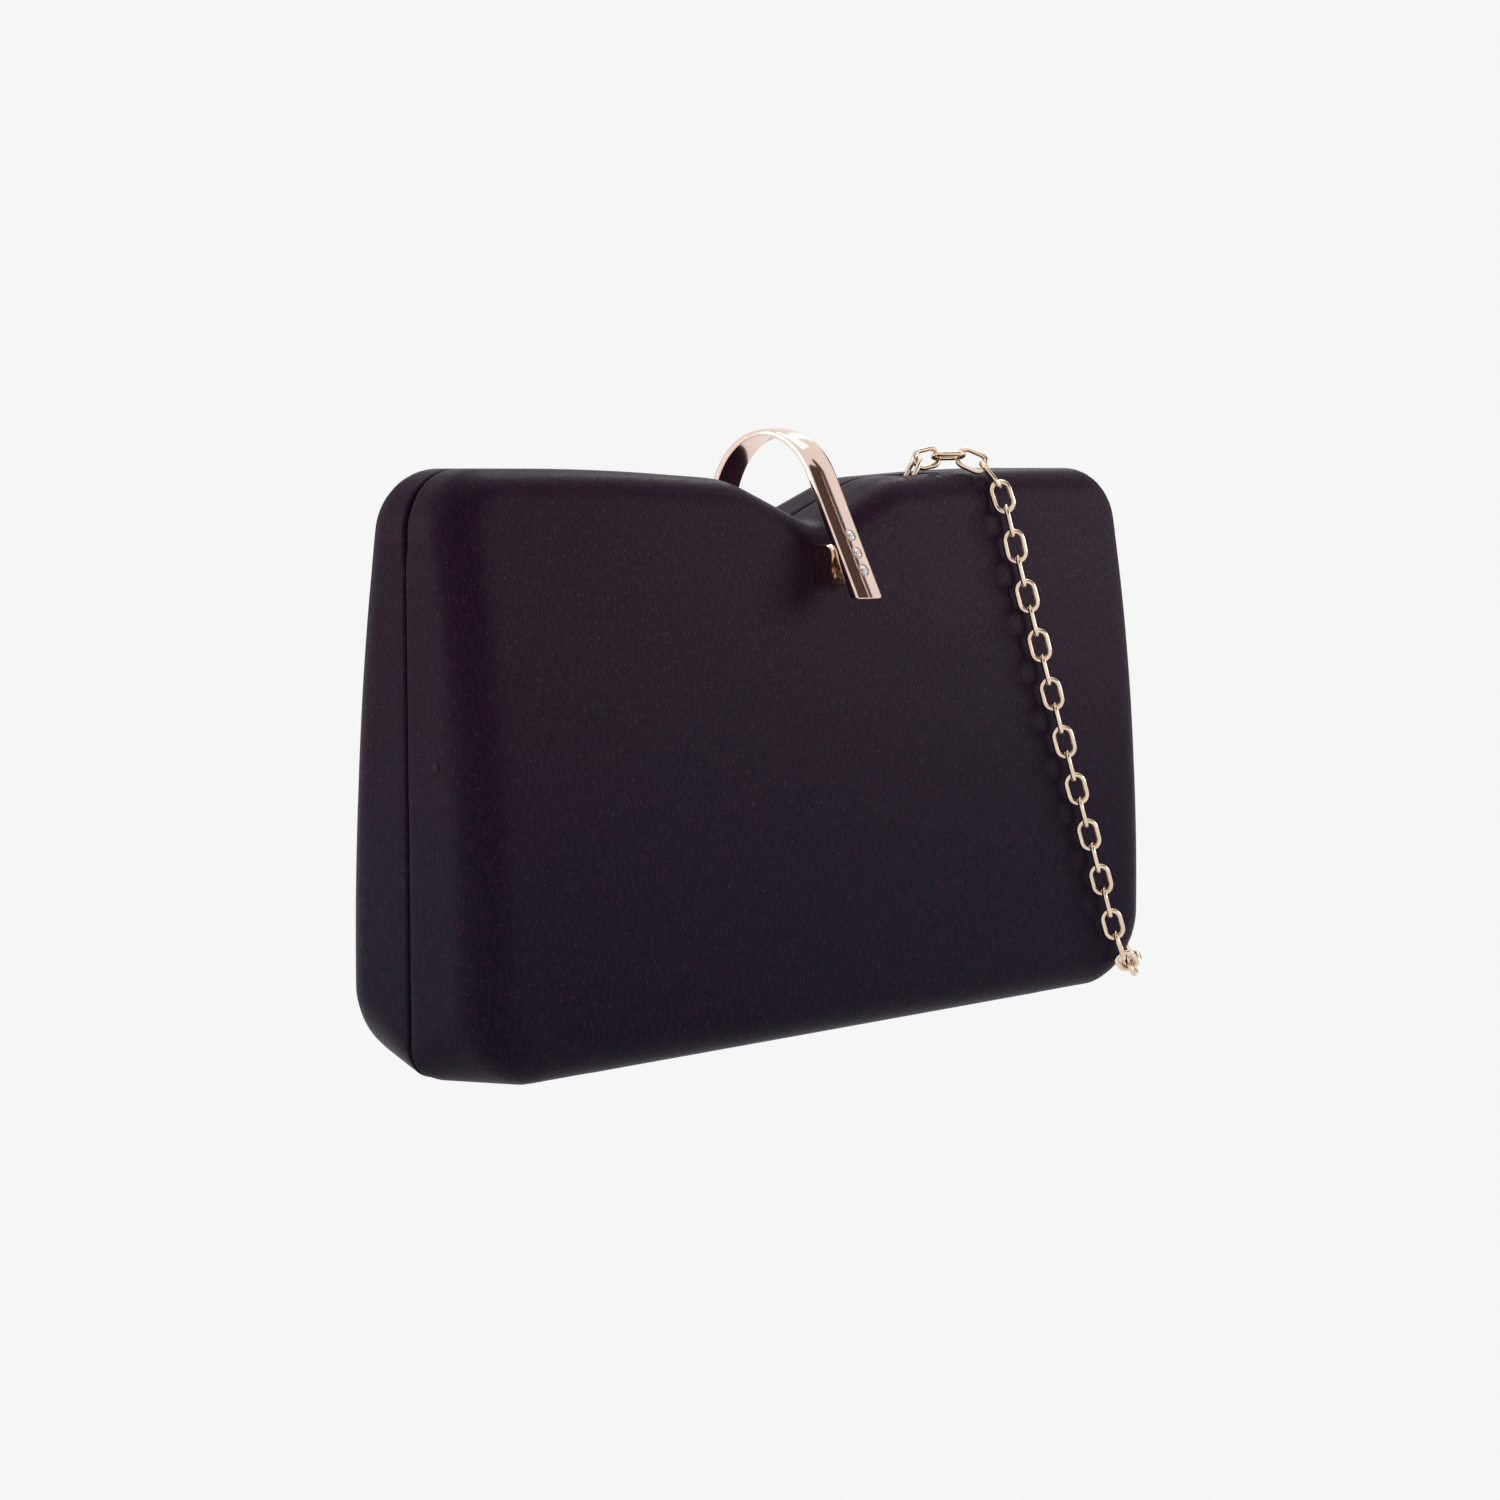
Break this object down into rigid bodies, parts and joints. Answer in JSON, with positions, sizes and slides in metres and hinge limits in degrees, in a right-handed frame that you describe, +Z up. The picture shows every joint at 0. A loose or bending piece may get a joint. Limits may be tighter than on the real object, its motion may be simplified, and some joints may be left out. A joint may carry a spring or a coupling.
{
  "type": "clutch purse",
  "caption": "Hard-case evening clutch: two satin-covered half shells hinged along the bottom, notched top, arched snap lever with stones, and a cable chain strap",
  "frame": {"origin": "on the surface the purse stands on, at the middle of its width and of its depth with the closed lever, without the chain", "axes": "+X along the purse to the right seen from the front, +Y towards the back, +Z up"},
  "size_m": [0.2185, 0.0566, 0.1374],
  "materials": {
    "satin": "dark aubergine shot satin, soft sheen",
    "foam": "thin soft foam sheet",
    "shell_plastic": "black moulded ABS",
    "lining": "dark plum polyester lining",
    "steel": "plain zinc-plated steel strip",
    "rose_gold": "polished pale rose-gold plate",
    "gold": "polished pale gold plate",
    "stone": "clear cut glass"
  },
  "bodies": {
    "rear_case": {"rear_cover": "satin", "rear_padding": "foam", "rear_shell": "shell_plastic", "rear_lining": "lining", "rear_rim_frame": "steel", "hinge_leaf_rear": "steel", "hinge_rivets_rear": "steel", "hinge_pin": "steel", "pivot_bracket": "rose_gold", "pivot_pin": "rose_gold", "bracket_screws": "rose_gold", "bracket_backing_plate": "steel"},
    "front_case": {"front_cover": "satin", "front_padding": "foam", "front_shell": "shell_plastic", "front_lining": "lining", "front_rim_frame": "steel", "hinge_leaf_front": "steel", "hinge_rivets_front": "steel", "catch_housing": "gold", "catch_spring": "steel", "catch_rivets": "gold", "catch_backing_plate": "steel", "chain_anchor_left": "gold", "chain_anchor_right": "gold", "anchor_rivets": "gold", "chain_clip_left": "gold", "chain_clip_right": "gold", "chain_strap": "gold", "chain_hank": "gold", "chain_tail": "gold"},
    "clasp_lever": {"arch_lever": "rose_gold", "arch_lug": "rose_gold", "stone_settings": "rose_gold", "stones": "stone"}
  },
  "joints": [
    {"name": "lid_hinge", "type": "hinge", "parent": "rear_case", "child": "front_case", "pos_m": [0, 0.00399, 0.0023], "axis": [1, 0, 0], "range_deg": [0, 50]},
    {"name": "lever_pivot", "type": "hinge", "parent": "rear_case", "child": "clasp_lever", "pos_m": [0, 0.02307, 0.1186], "axis": [-1, 0, 0], "range_deg": [0, 150]}
  ],
  "couplings": [
    {"joint": "lever_pivot", "follows": "lid_hinge", "ratio": 3}
  ]
}
